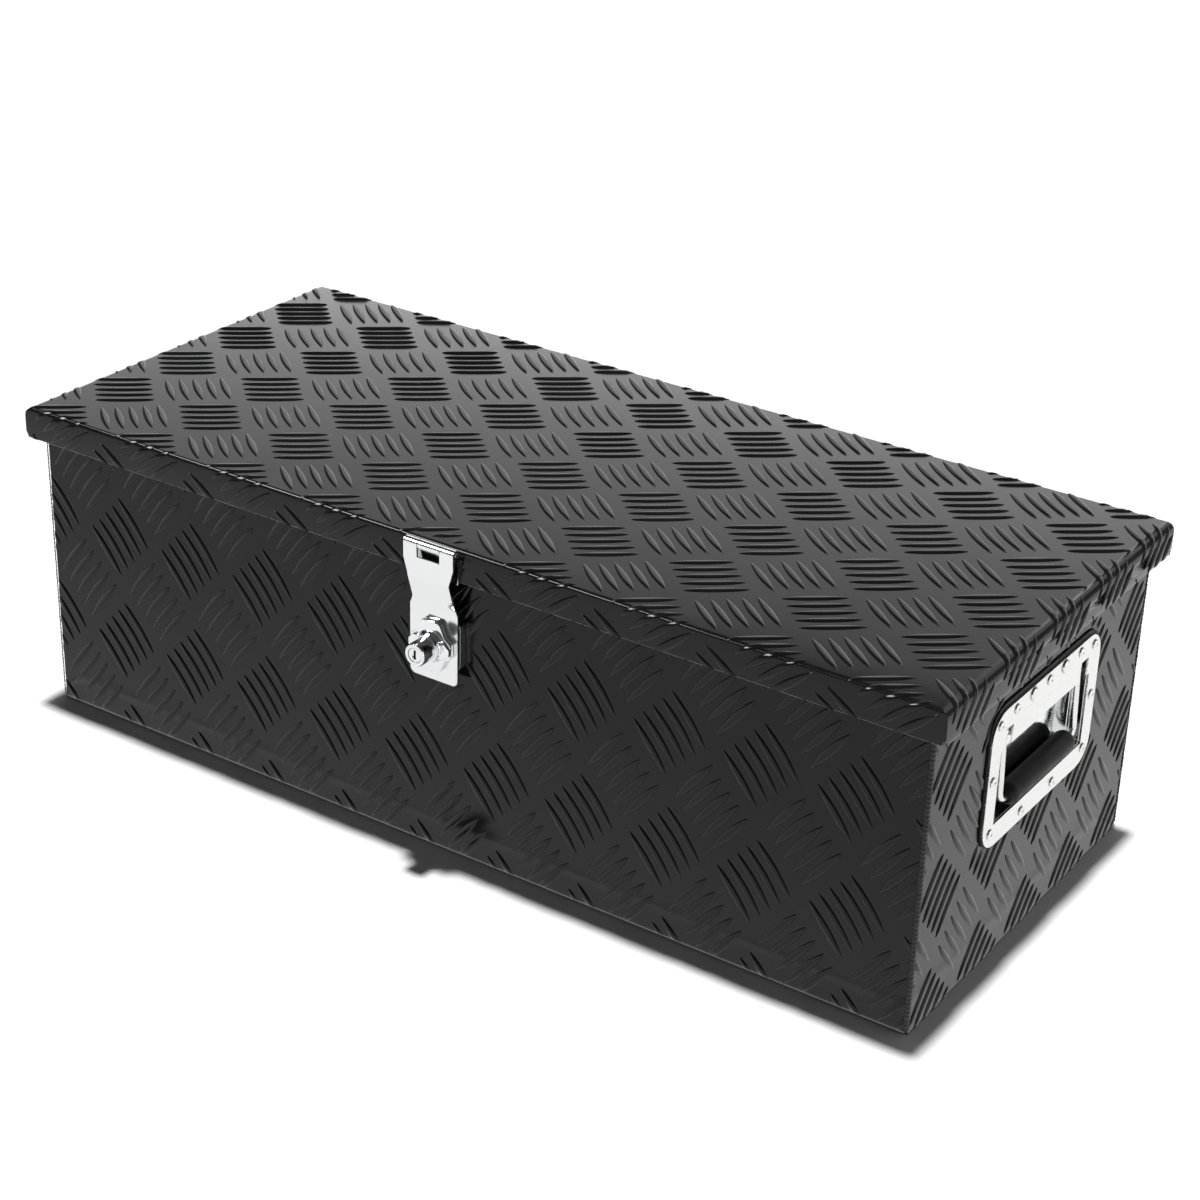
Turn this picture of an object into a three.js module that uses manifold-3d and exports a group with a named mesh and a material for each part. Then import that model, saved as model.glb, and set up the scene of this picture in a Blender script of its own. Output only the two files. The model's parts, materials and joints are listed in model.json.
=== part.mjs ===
// Truck tool box: a black tread-plate chest with a hinged lid, a locking hasp, two recessed
// bail handles and a slotted lid stay. Millimetres, +X along the box, -Y to its front, +Z up.
// The origin is the middle of the floor's underside.
import * as THREE from 'three';
import { mergeVertices } from 'three/addons/utils/BufferGeometryUtils.js';
import Module from 'manifold-3d';

const wasm = await Module();
wasm.setup();

// ---- driving dimensions -------------------------------------------------------------------
const GAP = 0.3;                 // clearance left between neighbouring pieces
const SHEET = 2.0;               // tread-plate thickness

const BODY = { halfX: 370, halfY: 160, rimZ: 236, bend: 4, lip: 15 };
const LID = {
  halfX: 381, frontY: -168.5, rearY: 167.5, topZ: 244, flange: 24, endBend: 7, edgeBend: 3.5, cornerR: 4,
};
const WELD = { low: 3, top: 235, bulge: 0.7, toe: 0.8, rise: 0.2 };
const SEAL = { inset: 2.5, width: 12, top: 241.5, cornerR: 6, innerR: 2 };

const HINGE = {
  y: 163.7, z: 216.5, r: 3.2, boreR: 1.65, pinR: 1.4, halfX: 352, knuckles: 15, endGap: 0.2,
  leaf: 1.2, bodyLeafY: 160.3, bodyLeafLow: 190, lidLeafY: 164.0, lidLeafHigh: 240, rootGap: 0.5,
};

const HANDLE = {
  z: 146, plateW: 161, plateH: 101, plateR: 18, plateT: 1.2, standOff: 1.5,
  gasketT: 1.0, gasketSide: 1.0, gasketTop: 3.5,
  openHalf: 66, openLow: 112.5, openHigh: 167, slotIn: 51, slotOut: 62, slotHigh: 181,
  dishT: 1.2, dishTop: 183.3, floor: 9.1,
  pivotX: 367.9, pivotZ: 175, gripX: 370, gripZ: 124.3,
  rodR: 2.75, armY: 55.5, stubEnd: 40, stubBendR: 3.6, bendR: 7, gripR: 8.1, gripHalf: 47,
  dishR: 4, tubeDepth: 7.2, tubeHalfH: 3.8, tubeFit: 0.25,
};
const SMALL_RIVET = { headR: 3.6, headH: 1.6, shankR: 2.2, holeR: 2.6 };
const BIG_RIVET = { headR: 5.0, headH: 2.2, shankR: 3.0, holeR: 3.4 };
const SMALL_RIVET_SITES = [
  [-70, 187.5], [70, 187.5], [-70, 107.5], [70, 107.5], [-48, 190.5], [48, 190.5], [0, 190.5],
  [-73.5, 148], [73.5, 148], [-23.3, 102.5], [23.3, 102.5],
];
const BIG_RIVET_SITES = [[-23.4, 190.5], [23.4, 190.5]];

const HASP = {
  x: -1.3, axisY: -172.3, axisZ: 241.5, r: 3.5, boreR: 1.75, pinR: 1.5, pinProud: 0.4,
  halfW: 20.7, midHalf: 9, knuckleGap: 0.5, plate: 1.6, notchLow: 233,
  leafT: 1.4, leafLow: 219, leafGap: 0.8,
  shoulderHigh: 231, shoulderLow: 219, neck: 17.2, neckLow: 201, foot: 20, footHigh: 194, footR: 4.5,
  backFrontY: -169.5, bendHigh: 218, bendLow: 198, low: 141,
};
const LOCK = {
  z: 168.3, holeR: 5.3, spindleR: 4.8, wingT: 3.8, earT: 6, rim: 0.4,
  bellR: 12.5, collarR: 9.6, bodyR: 8.7, faceR: 8.1, reach: 21.2,
  plugR: 5.2, plugBoreR: 5.5, plugL: 14, plugSink: 0.3, keyW: 1.8, keyH: 7.4, wardW: 2.0, keyDepth: 9,
};
// Quarter outlines of the knob, from its side round to its top.
const WING = [[17, 3.2], [16.2, 5.6], [12.2, 8.6], [8.2, 17.2], [6.4, 18.8]];
const EARS = [[17, 2.4], [13, 6.5]];
const KEEPER = {
  halfW: 20, low: 152.5, high: 186.5, cornerR: 3, depth: 6.4, wall: 1.3, slotHalf: 9,
  stopLow: 170.5, stopInset: 0.5, sweepR: 14.5,
};
const CAM = {
  halfW: 4.8, halfL: 13.5, cornerR: 3, front: -164.4, back: -162.6, boreR: 2.7, stubR: 2.4, stubProud: 0.4,
};

const STAY = {
  y: 59.3, rise: 14.75, x0: 349.6, x1: 352.0, halfW: 8, slotR: 3.3, pinR: 3.0, openDeg: 95, tail: 12,
  tabReach: 12, tabHalf: 14, earHalf: 11, earLow: 7, sheet: 1.5, earGap: 1.6,
  pinHeadR: 4.6, studFootR: 9, studHeadR: 5.6, headGap: 0.5, headT: 2.1,
};

// ---- solid helpers --------------------------------------------------------------------------
function toManifold(geometry) {
  const bare = geometry.clone();
  for (const name of Object.keys(bare.attributes)) {
    if (name !== 'position') bare.deleteAttribute(name);
  }
  const merged = mergeVertices(bare, 1e-4);
  const mesh = new wasm.Mesh({
    numProp: 3,
    vertProperties: new Float32Array(merged.attributes.position.array),
    triVerts: new Uint32Array(merged.index.array),
  });
  mesh.merge();
  return new wasm.Manifold(mesh);
}

function toGeometry(solid) {
  const mesh = solid.getMesh();
  const geometry = new THREE.BufferGeometry();
  geometry.setAttribute('position', new THREE.BufferAttribute(new Float32Array(mesh.vertProperties), 3));
  geometry.setIndex(new THREE.BufferAttribute(new Uint32Array(mesh.triVerts), 1));
  const flat = geometry.toNonIndexed();
  flat.computeVertexNormals();
  return flat;
}

function union(...solids) {
  return solids.reduce((sum, solid) => sum.add(solid));
}

function path(points, Kind = THREE.Shape) {
  return new Kind(points.map(([a, b]) => new THREE.Vector2(a, b)));
}

// A prism along one axis. The outline is given as (y, z) for x, (x, z) for y and (x, y) for z.
// A rim rounds the edges of both ends inside the outline.
function prism(axis, points, from, to, holes = [], rim = 0) {
  const shape = path(points);
  shape.holes = holes.map((hole) => path(hole, THREE.Path));
  const geometry = new THREE.ExtrudeGeometry(shape, {
    depth: to - from - 2 * rim,
    steps: 1,
    bevelEnabled: rim > 0,
    bevelThickness: rim,
    bevelSize: rim,
    bevelOffset: -rim,
    bevelSegments: 2,
  });
  geometry.translate(0, 0, rim);
  const [X, Y, Z] = [new THREE.Vector3(1, 0, 0), new THREE.Vector3(0, 1, 0), new THREE.Vector3(0, 0, 1)];
  const place = new THREE.Matrix4();
  if (axis === 'x') place.makeBasis(Y, Z, X).setPosition(from, 0, 0);
  if (axis === 'y') place.makeBasis(X, Z, Y.clone().negate()).setPosition(0, to, 0);
  if (axis === 'z') place.makeBasis(X, Y, Z).setPosition(0, 0, from);
  geometry.applyMatrix4(place);
  return toManifold(geometry);
}

function box(x0, x1, y0, y1, z0, z1) {
  return prism('z', [[x0, y0], [x1, y0], [x1, y1], [x0, y1]], z0, z1);
}

function ring(a, b, r, sides, phase = 0.5) {
  const points = [];
  for (let i = 0; i < sides; i += 1) {
    const t = ((i + phase) / sides) * 2 * Math.PI;
    points.push([a + r * Math.cos(t), b + r * Math.sin(t)]);
  }
  return points;
}

function rod(axis, a, b, r, from, to, sides = 12) {
  return prism(axis, ring(a, b, r, sides), from, to);
}

// A rectangle whose four corners (low-a low-b, high-a low-b, high-a high-b, low-a high-b) are rounded.
function rounded(a0, a1, b0, b1, radii, steps = 3) {
  const centres = [[a0, b0, 1, 1, 180], [a1, b0, -1, 1, 270], [a1, b1, -1, -1, 0], [a0, b1, 1, -1, 90]];
  const points = [];
  centres.forEach(([a, b, sa, sb, start], i) => {
    const r = radii[i];
    if (r === 0) {
      points.push([a, b]);
      return;
    }
    for (let k = 0; k <= steps; k += 1) {
      const t = ((start + (90 * k) / steps) * Math.PI) / 180;
      points.push([a + sa * r + r * Math.cos(t), b + sb * r + r * Math.sin(t)]);
    }
  });
  return points;
}

function corners(r) {
  return [r, r, r, r];
}

function turned(profile, sides, axis, a, b) {
  const geometry = new THREE.LatheGeometry(profile.map(([r, h]) => new THREE.Vector2(r, h)), sides);
  geometry.deleteAttribute('uv');
  if (axis === '-y') geometry.rotateX(Math.PI).translate(a, 0, b);
  if (axis === 'x') geometry.rotateZ(-Math.PI / 2).translate(0, a, b);
  return toManifold(geometry);
}

// A round bar following a flat line of points in the y-z plane, at x = 0.
function bar(points, r, sides) {
  const vertices = [];
  const triangles = [];
  points.forEach(([y, z], i) => {
    const before = points[Math.max(i - 1, 0)];
    const after = points[Math.min(i + 1, points.length - 1)];
    const along = new THREE.Vector2(after[0] - before[0], after[1] - before[1]).normalize();
    const first = new THREE.Vector2(y - before[0], z - before[1]);
    const stretch = first.length() > 0 && i < points.length - 1 ? 1 / along.dot(first.normalize()) : 1;
    for (let k = 0; k < sides; k += 1) {
      const t = ((k + 0.5) / sides) * 2 * Math.PI;
      const side = r * Math.cos(t) * stretch;
      vertices.push(r * Math.sin(t), y - along.y * side, z + along.x * side);
    }
  });
  for (let i = 0; i + 1 < points.length; i += 1) {
    for (let k = 0; k < sides; k += 1) {
      const [a, b] = [i * sides + k, i * sides + ((k + 1) % sides)];
      triangles.push(a, b, b + sides, a, b + sides, a + sides);
    }
  }
  const last = (points.length - 1) * sides;
  for (let k = 1; k + 1 < sides; k += 1) {
    triangles.push(0, k + 1, k, last, last + k, last + k + 1);
  }
  const geometry = new THREE.BufferGeometry();
  geometry.setAttribute('position', new THREE.Float32BufferAttribute(vertices, 3));
  geometry.setIndex(triangles);
  return toManifold(geometry);
}

// ---- the box --------------------------------------------------------------------------------
const wrapHalfX = BODY.halfX - SHEET - GAP;

// Front, floor and rear folded from one sheet, with a lip turned inwards along each top edge.
function bodyWrap() {
  const { halfY, rimZ, bend, lip } = BODY;
  const outer = rounded(-halfY, halfY, 0, rimZ, corners(bend));
  const inner = rounded(-halfY + SHEET, halfY - SHEET, SHEET, rimZ - SHEET, corners(bend - SHEET));
  const mouth = box(-wrapHalfX - 1, wrapHalfX + 1, -halfY + lip, halfY - lip, rimZ - 2 * SHEET, rimZ + 1);
  return prism('x', outer, -wrapHalfX, wrapHalfX, [inner]).subtract(mouth);
}

// One end of the box, with a lip at the top, the handle's cut-out and its rivet holes.
function endPanel() {
  const half = BODY.halfY - SHEET - GAP;
  const x0 = BODY.halfX - SHEET;
  const wall = prism('x', [[-half, 0], [half, 0], [half, BODY.rimZ], [-half, BODY.rimZ]], x0, BODY.halfX);
  const lipHalf = BODY.halfY - BODY.lip - GAP;
  const lip = box(BODY.halfX - BODY.lip, x0 + 1, -lipHalf, lipHalf, BODY.rimZ - SHEET, BODY.rimZ);
  const [from, to] = [x0 - 1, BODY.halfX + 1];
  return union(wall, lip).subtract(dishClearance(from, to)).subtract(rivetHoles(from, to));
}

// The bead that fills one vertical corner between the wrap and an end panel.
function cornerWeld(signX, signY) {
  const { halfX, halfY } = BODY;
  const { low, top, bulge, toe, rise } = WELD;
  const [x, y] = [halfX - SHEET, halfY - SHEET];
  const crown = bulge * Math.SQRT1_2;
  const section = [
    [x, y], [halfX + rise, y], [halfX + bulge, y + toe], [halfX + crown, halfY + crown],
    [x + toe, halfY + bulge], [x, halfY + rise],
  ].map(([a, b]) => [a * signX, b * signY]);
  if (signX * signY < 0) section.reverse();
  return prism('z', section, low, top);
}

function rimSeal() {
  const { inset, width, top, cornerR, innerR } = SEAL;
  const [x1, y1] = [BODY.halfX - inset, BODY.halfY - inset];
  const [x0, y0] = [x1 - width, y1 - width];
  const outer = rounded(-x1, x1, -y1, y1, corners(cornerR), 2);
  const inner = rounded(-x0, x0, -y0, y0, corners(innerR), 1);
  return prism('z', outer, BODY.rimZ + GAP, top, [inner.reverse()]);
}

// ---- the lid --------------------------------------------------------------------------------
// A folded pan: the top sheet and four flanges that overhang the body.
function lidShell() {
  const { halfX, frontY, rearY, topZ, flange, endBend, edgeBend } = LID;
  const low = topZ - flange;
  const long = rounded(frontY, rearY, low, topZ, [0, 0, edgeBend, edgeBend]);
  const wide = rounded(-halfX, halfX, low, topZ, [0, 0, endBend, endBend], 4);
  const outer = prism('x', long, -halfX - 1, halfX + 1).intersect(prism('y', wide, frontY - 1, rearY + 1));
  const t = SHEET;
  const cut = low - 1;
  const longIn = rounded(frontY + t, rearY - t, cut, topZ - t, [0, 0, edgeBend - t, edgeBend - t], 2);
  const wideIn = rounded(-halfX + t, halfX - t, cut, topZ - t, [0, 0, endBend - t, endBend - t], 3);
  const inner = prism('x', longIn, -halfX, halfX).intersect(prism('y', wideIn, frontY, rearY));
  return outer.subtract(inner).subtract(flangeNicks());
}

// The rounded lower corners of the four flanges.
function flangeNicks() {
  const { halfX, frontY, rearY, topZ, flange, cornerR } = LID;
  const low = topZ - flange;
  const r = cornerR;
  const nick = (edge, inward) => {
    const curve = arc(edge + inward * r, low + r, r, inward > 0 ? 180 : 360, 270, 5);
    const outside = [[edge + inward * r, low - 1], [edge - inward, low - 1], [edge - inward, low + r]];
    const points = [...curve, ...outside];
    return inward > 0 ? points : points.reverse();
  };
  const along = [frontY, rearY].map((y, i) => prism('x', nick(y, i ? -1 : 1), -halfX - 1, halfX + 1));
  const across = [-halfX, halfX].map((x, i) => prism('y', nick(x, i ? -1 : 1), frontY - 1, rearY + 1));
  const middleX = box(-halfX + SHEET, halfX - SHEET, frontY - 5, rearY + 5, low - 5, low + 2 * r);
  const middleY = box(-halfX - 5, halfX + 5, frontY + SHEET, rearY - SHEET, low - 5, low + 2 * r);
  return union(union(...along).subtract(middleX), union(...across).subtract(middleY));
}

// ---- the piano hinge ------------------------------------------------------------------------
const knuckleLength = (2 * HINGE.halfX) / HINGE.knuckles;

function hingeLeaf(owner) {
  const { y, z, r, boreR, halfX, knuckles, endGap, leaf, rootGap } = HINGE;
  const body = owner === 'body';
  const y0 = body ? HINGE.bodyLeafY : HINGE.lidLeafY;
  const y1 = y0 + leaf;
  const root = r + rootGap;
  let solid = body
    ? box(-halfX, halfX, y0, y1, HINGE.bodyLeafLow, z - root)
    : box(-halfX, halfX, y0, y1, z + root, HINGE.lidLeafHigh);
  for (let i = body ? 0 : 1; i < knuckles; i += 2) {
    const x0 = -halfX + i * knuckleLength + endGap;
    const x1 = x0 + knuckleLength - 2 * endGap;
    const [webLow, webHigh] = body ? [z - root - 1, z] : [z + boreR + GAP, z + root + 1];
    const web = box(x0, x1, y0, y1, webLow, webHigh);
    solid = union(solid, web, rod('x', y, z, r, x0, x1, 12));
  }
  return solid.subtract(rod('x', y, z, boreR, -halfX - 1, halfX + 1, 8));
}

function hingePin() {
  return rod('x', HINGE.y, HINGE.z, HINGE.pinR, -HINGE.halfX, HINGE.halfX, 8);
}

// ---- the hasp and its lock --------------------------------------------------------------------
function haspLeaf() {
  const { x, axisY, axisZ, r, boreR, halfW, midHalf, leafT, leafLow, leafGap } = HASP;
  const y1 = axisY + r;
  const high = axisZ - r - leafGap;
  const side = box(x - halfW, x + halfW, y1 - leafT, y1, leafLow, high);
  const middle = box(x - midHalf, x + midHalf, y1 - leafT, y1, high - 1, axisZ);
  const knuckle = rod('x', axisY, axisZ, r, x - midHalf, x + midHalf, 24);
  const bore = rod('x', axisY, axisZ, boreR, x - halfW - 1, x + halfW + 1, 10);
  return union(side, middle, knuckle).subtract(bore);
}

function haspOutline() {
  const { x, halfW, shoulderHigh, shoulderLow, neck, neckLow, foot, footHigh, footR, low, axisZ } = HASP;
  const half = [
    ...arc(foot - footR, low + footR, footR, 270, 360, 5),
    [foot, footHigh], [neck, neckLow], [neck, shoulderLow], [halfW, shoulderHigh], [halfW, axisZ + 5],
  ];
  const right = half.map(([a, z]) => [x + a, z]);
  const left = half.map(([a, z]) => [x - a, z]).reverse();
  return [...right, ...left];
}

function haspArm() {
  const { x, axisY, axisZ, r, boreR, halfW, midHalf, knuckleGap, plate } = HASP;
  const { notchLow, backFrontY, bendHigh, bendLow, low } = HASP;
  const f = axisY - r;
  const g = backFrontY;
  const inner = midHalf + knuckleGap;
  const side = [
    [f, axisZ], [f, bendHigh], [g, bendLow], [g, low - 1],
    [g + plate, low - 1], [g + plate, bendLow], [f + plate, bendHigh], [f + plate, axisZ],
  ];
  const outline = prism('y', haspOutline(), f - 1, g + plate + 1);
  const sheet = prism('x', side, x - halfW, x + halfW).intersect(outline);
  const left = rod('x', axisY, axisZ, r, x - halfW, x - inner, 24);
  const right = rod('x', axisY, axisZ, r, x + inner, x + halfW, 24);
  const notch = box(x - inner, x + inner, f - 1, axisY + r + 1, notchLow, axisZ + r + 1);
  const bore = rod('x', axisY, axisZ, boreR, x - halfW - 1, x + halfW + 1, 10);
  const lockHole = rod('y', x, LOCK.z, LOCK.holeR, g - 1, g + plate + 1, 16);
  return union(sheet.subtract(notch), left, right).subtract(bore).subtract(lockHole);
}

function haspPin() {
  const { x, axisY, axisZ, pinR, pinProud, halfW } = HASP;
  return rod('x', axisY, axisZ, pinR, x - halfW - pinProud, x + halfW + pinProud, 10);
}

const knobBackY = HASP.backFrontY - GAP;

const lockFaceY = knobBackY - LOCK.reach + GAP;

function aroundLock(points) {
  return points.map(([a, h]) => [HASP.x + a, LOCK.z + h]);
}

// A whole outline from its first quarter.
function fourfold(quarter) {
  const over = quarter.map(([a, h]) => [-a, h]).reverse();
  const under = quarter.map(([a, h]) => [-a, -h]);
  const back = quarter.map(([a, h]) => [a, -h]).reverse();
  return aroundLock([...quarter, ...over, ...under, ...back]);
}

// The turn knob: a flat wing that stands up the hasp, two finger ears, the lock barrel and its spindle.
function lockKnob() {
  const { wingT, earT, rim, bellR, collarR, bodyR, faceR, spindleR, plugBoreR, plugL, z } = LOCK;
  const wing = prism('y', fourfold(WING), knobBackY - wingT, knobBackY, [], rim);
  const ears = prism('y', fourfold(EARS), knobBackY - earT, knobBackY, [], rim);
  const back = -knobBackY + 0.5;
  const face = -lockFaceY;
  const barrel = turned([
    [0, back], [bellR, back], [bellR, back + 2.5], [bellR - 1.2, back + 4.1], [collarR, back + 6.9],
    [collarR, back + 8.5], [bodyR, back + 8.7], [faceR + 0.3, face - 1.2], [faceR - 0.3, face], [0, face],
  ], 28, '-y', HASP.x, z);
  const spindle = rod('y', HASP.x, z, spindleR, knobBackY - 1, CAM.front - GAP, 14);
  const stub = rod('y', HASP.x, z, CAM.stubR, knobBackY - 1, CAM.back + CAM.stubProud, 8);
  const plugBore = rod('y', HASP.x, z, plugBoreR, lockFaceY - 1, lockFaceY + plugL + GAP, 24);
  return union(wing, ears, barrel, spindle, stub).subtract(plugBore);
}

// The key plug, with a slot for the key and the step of its ward.
function keyPlug() {
  const { z, plugR, plugL, plugSink, keyW, keyH, wardW, keyDepth } = LOCK;
  const { x } = HASP;
  const [from, to] = [lockFaceY - 1, lockFaceY + keyDepth];
  const plug = rod('y', x, z, plugR, lockFaceY + plugSink, lockFaceY + plugL, 24);
  const key = box(x - keyW / 2, x + keyW / 2, from, to, z - keyH / 2, z + keyH / 2);
  const ward = box(x - wardW, x, from, to, z - keyH / 3, z - keyH / 9);
  return plug.subtract(key).subtract(ward);
}

function lockCam() {
  const { halfW, halfL, cornerR, front, back, boreR } = CAM;
  const outline = aroundLock(rounded(-halfW, halfW, -halfL, halfL, corners(cornerR), 2));
  return prism('y', outline, front, back, [aroundLock(ring(0, 0, boreR, 8)).reverse()]);
}

// A shallow steel cup on the front. Its slot is open at the top, so the upright cam passes freely,
// and the cam turned level sits behind the lips and under two shoulders hollowed to its sweep.
function keeperHousing() {
  const { halfW, low, high, cornerR, depth, wall, slotHalf, stopLow, stopInset, sweepR } = KEEPER;
  const { x } = HASP;
  const back = -BODY.halfY - GAP;
  const front = -BODY.halfY - depth;
  const shell = prism('y', rounded(x - halfW, x + halfW, low, high, corners(cornerR), 2), front, back);
  const room = box(x - halfW + wall, x + halfW - wall, front + wall, back - wall, low + wall, high - wall);
  const slot = box(x - slotHalf, x + slotHalf, front - 1, back - wall, low + wall, high + 1);
  const [stopHalf, stopFront, stopBack] = [halfW - stopInset, front + stopInset, back - stopInset];
  const stops = box(x - stopHalf, x + stopHalf, stopFront, stopBack, stopLow, high - stopInset);
  const upright = box(x - slotHalf, x + slotHalf, front - 1, back + 1, stopLow - 1, high + 1);
  const sweep = rod('y', x, LOCK.z, sweepR, front - 1, back + 1, 24);
  return union(shell.subtract(room).subtract(slot), stops.subtract(upright).subtract(sweep));
}

// ---- the recessed handles, drawn for the +X end ----------------------------------------------
const plateBack = BODY.halfX + HANDLE.standOff;
const plateLow = HANDLE.z - HANDLE.plateH / 2;
const plateHigh = HANDLE.z + HANDLE.plateH / 2;

function rivetHoles(x0, x1) {
  const small = SMALL_RIVET_SITES.map(([y, z]) => rod('x', y, z, SMALL_RIVET.holeR, x0, x1, 6));
  const big = BIG_RIVET_SITES.map(([y, z]) => rod('x', y, z, BIG_RIVET.holeR, x0, x1, 6));
  return union(...small, ...big);
}

function dishOuter(grow) {
  const { openHalf, openLow, dishTop, dishT, dishR } = HANDLE;
  const wall = dishT + grow;
  return rounded(-openHalf - wall, openHalf + wall, openLow - wall, dishTop + wall, corners(dishR), 2);
}

function dishClearance(x0, x1) {
  return prism('x', dishOuter(0.5), x0, x1);
}

function handlePlate() {
  const { plateW, plateR, openHalf, openLow, openHigh, slotIn, slotOut, slotHigh } = HANDLE;
  const outline = rounded(-plateW / 2, plateW / 2, plateLow, plateHigh, corners(plateR), 5);
  const window = [
    [-openHalf, openLow], [openHalf, openLow], [openHalf, openHigh],
    [slotOut, openHigh], [slotOut, slotHigh], [slotIn, slotHigh], [slotIn, openHigh],
    [-slotIn, openHigh], [-slotIn, slotHigh], [-slotOut, slotHigh], [-slotOut, openHigh],
    [-openHalf, openHigh],
  ];
  const plate = prism('x', outline, plateBack, plateBack + HANDLE.plateT, [window.reverse()]);
  return plate.subtract(rivetHoles(plateBack - 1, plateBack + 3));
}

function handleGasket() {
  const { plateW, plateR, standOff, gasketSide, gasketTop, gasketT } = HANDLE;
  const w = plateW / 2 + gasketSide;
  const round = corners(plateR + gasketSide);
  const outline = rounded(-w, w, plateLow - gasketSide, plateHigh + gasketTop, round, 4);
  const x0 = BODY.halfX + standOff - gasketT - GAP;
  const pad = prism('x', outline, x0, x0 + gasketT);
  return pad.subtract(dishClearance(x0 - 1, x0 + 3)).subtract(rivetHoles(x0 - 1, x0 + 3));
}

function handleDish() {
  const { openHalf, openLow, dishTop, dishT, dishR, floor } = HANDLE;
  const x0 = BODY.halfX - floor;
  const shell = prism('x', dishOuter(0), x0 - dishT, plateBack - GAP);
  const room = rounded(-openHalf, openHalf, openLow, dishTop, corners(dishR - dishT), 2);
  return shell.subtract(prism('x', room, x0, plateBack + 1));
}

// The square tube behind the plate's top band that carries the bail's two stubs.
function pivotTube() {
  const { pivotX, pivotZ, slotIn, rodR, tubeDepth, tubeHalfH, tubeFit } = HANDLE;
  const x1 = plateBack - GAP;
  const end = slotIn - 0.5;
  const block = box(x1 - tubeDepth, x1, -end, end, pivotZ - tubeHalfH, pivotZ + tubeHalfH);
  return block.subtract(rod('y', pivotX, pivotZ, rodR + tubeFit, -end - 1, end + 1, 12));
}

function arc(cy, cz, r, from, to, steps) {
  const points = [];
  for (let k = 0; k <= steps; k += 1) {
    const t = ((from + ((to - from) * k) / steps) * Math.PI) / 180;
    points.push([cy + r * Math.cos(t), cz + r * Math.sin(t)]);
  }
  return points;
}

// The bail: two stubs on the pivot line, two arms and the bar through the grip, bent from one rod.
const bailTilt = Math.atan2(HANDLE.gripX - HANDLE.pivotX, HANDLE.pivotZ - HANDLE.gripZ);
const bailDrop = Math.hypot(HANDLE.gripX - HANDLE.pivotX, HANDLE.pivotZ - HANDLE.gripZ);

function placeOnPivot(solid) {
  const geometry = toGeometry(solid);
  geometry.rotateY(-bailTilt).translate(HANDLE.pivotX, 0, HANDLE.pivotZ);
  return toManifold(geometry);
}

function bailRod() {
  const { armY, stubEnd, stubBendR, bendR, rodR } = HANDLE;
  const right = [
    [stubEnd, 0],
    ...arc(armY - stubBendR, -stubBendR, stubBendR, 90, 0, 3),
    ...arc(armY - bendR, -bailDrop + bendR, bendR, 0, -90, 3),
  ];
  const left = right.map(([y, z]) => [-y, z]).reverse();
  return placeOnPivot(bar([...right, ...left], rodR, 8));
}

function bailGrip() {
  const { gripR, gripHalf, rodR } = HANDLE;
  const profile = [
    [0, -gripHalf], [gripR - 3.4, -gripHalf], [gripR - 1, -gripHalf + 1], [gripR, -gripHalf + 3.6],
    [gripR, gripHalf - 3.6], [gripR - 1, gripHalf - 1], [gripR - 3.4, gripHalf], [0, gripHalf],
  ];
  const geometry = new THREE.LatheGeometry(profile.map(([r, h]) => new THREE.Vector2(r, h)), 16);
  geometry.deleteAttribute('uv');
  const outer = toManifold(geometry.translate(HANDLE.gripX, 0, HANDLE.gripZ));
  const bore = rod('y', HANDLE.gripX, HANDLE.gripZ, rodR + GAP, -gripHalf - 1, gripHalf + 1, 10);
  return outer.subtract(bore);
}

// A dome-headed rivet through the plate, the gasket and the end panel.
function rivet([y, z], size) {
  const { headR, headH, shankR } = size;
  const seat = plateBack + HANDLE.plateT + 0.15;
  const top = seat + headH;
  const head = turned([
    [0, seat], [headR, seat], [headR * 0.82, seat + headH * 0.62], [headR * 0.4, top], [0, top],
  ], 10, 'x', y, z);
  return union(head, rod('x', y, z, shankR, BODY.halfX - 5, seat + 0.5, 6));
}

// ---- the lid stay ---------------------------------------------------------------------------
// Lid pivot and body stud are the same distance from the hinge line, so the arm turns at half the
// lid's rate and its slot is straight.
const stayRun = HINGE.y - STAY.y;
const stayReach = Math.hypot(stayRun, STAY.rise);
const stayShut = 2 * STAY.rise;
const stayLead = Math.atan(STAY.rise / stayRun);
const stayOpen = 2 * stayReach * Math.sin((STAY.openDeg * Math.PI) / 360 + stayLead);
const lidPivotZ = HINGE.z + STAY.rise;
const studZ = HINGE.z - STAY.rise;

function slotOutline(y, zLow, zHigh, r, steps = 5) {
  return [...arc(y, zHigh, r, 0, 180, steps), ...arc(y, zLow, r, 180, 360, steps)];
}

function stayArm() {
  const { y, x0, x1, halfW, slotR, tail } = STAY;
  const outline = slotOutline(y, lidPivotZ - stayOpen - tail + halfW, lidPivotZ, halfW);
  const slot = slotOutline(y, lidPivotZ - stayOpen, lidPivotZ - stayShut, slotR, 4);
  const hole = ring(y, lidPivotZ, slotR, 8);
  return prism('x', outline, x0, x1, [slot.reverse(), hole.reverse()]);
}

function stayBracket() {
  const { y, x0, x1, tabReach, tabHalf, earHalf, earLow, sheet, earGap } = STAY;
  const { pinR, pinHeadR, headGap, headT } = STAY;
  const top = LID.topZ - SHEET - GAP;
  const earX = x0 - earGap;
  const tab = box(x0 - tabReach, earX, y - tabHalf, y + tabHalf, top - sheet, top);
  const ear = box(earX - sheet, earX, y - earHalf, y + earHalf, lidPivotZ - earLow, top);
  const pin = rod('x', y, lidPivotZ, pinR, earX - 0.5, x1 + headGap + 1, 10);
  const head = rod('x', y, lidPivotZ, pinHeadR, x1 + headGap, x1 + headGap + headT, 12);
  return union(tab, ear, pin, head);
}

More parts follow.
